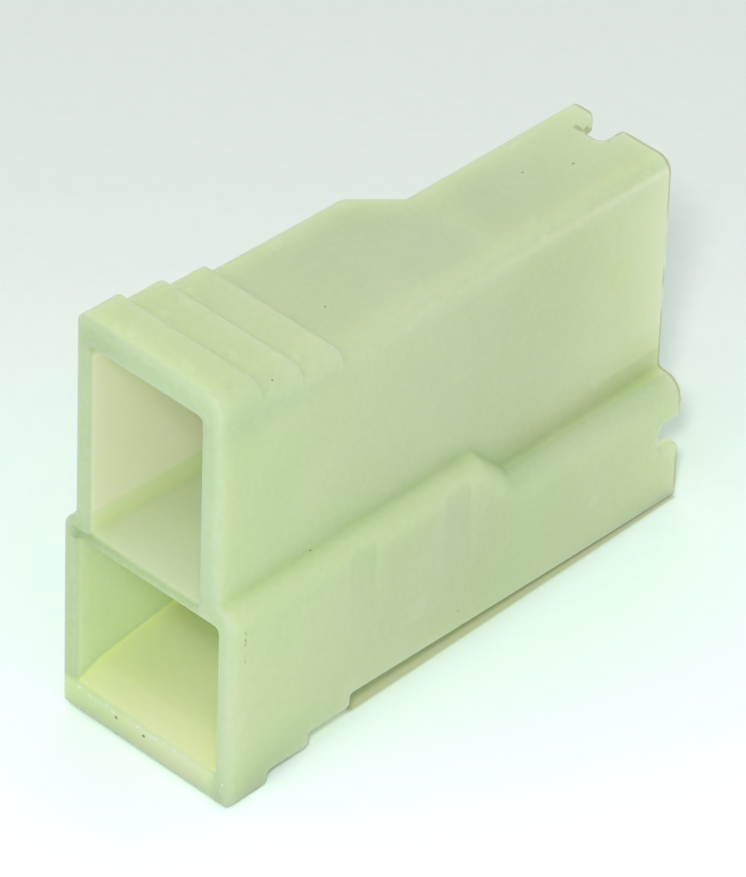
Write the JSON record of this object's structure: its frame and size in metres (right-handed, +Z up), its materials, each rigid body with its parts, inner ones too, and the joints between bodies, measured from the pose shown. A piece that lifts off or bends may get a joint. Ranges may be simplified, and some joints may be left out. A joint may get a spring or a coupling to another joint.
{
  "type": "wire connector housing",
  "caption": "Empty one-piece nylon housing for flat blade terminals: a wide low cell under a tall narrow one, a stepped collar round the mouth and a shoulder down to the wire cells.",
  "frame": {"origin": "middle of the footprint, level with the lowest collar band", "axes": "Y runs from the mating mouth at -Y to the wire end at +Y and is the longest way; Z is up, with the wide cell below and the tall cell above; X is across"},
  "size_m": [0.0126, 0.0344, 0.0263],
  "materials": {
    "nylon": "natural translucent nylon, satin"
  },
  "bodies": {
    "root": {"housing": "nylon"}
  },
  "joints": []
}
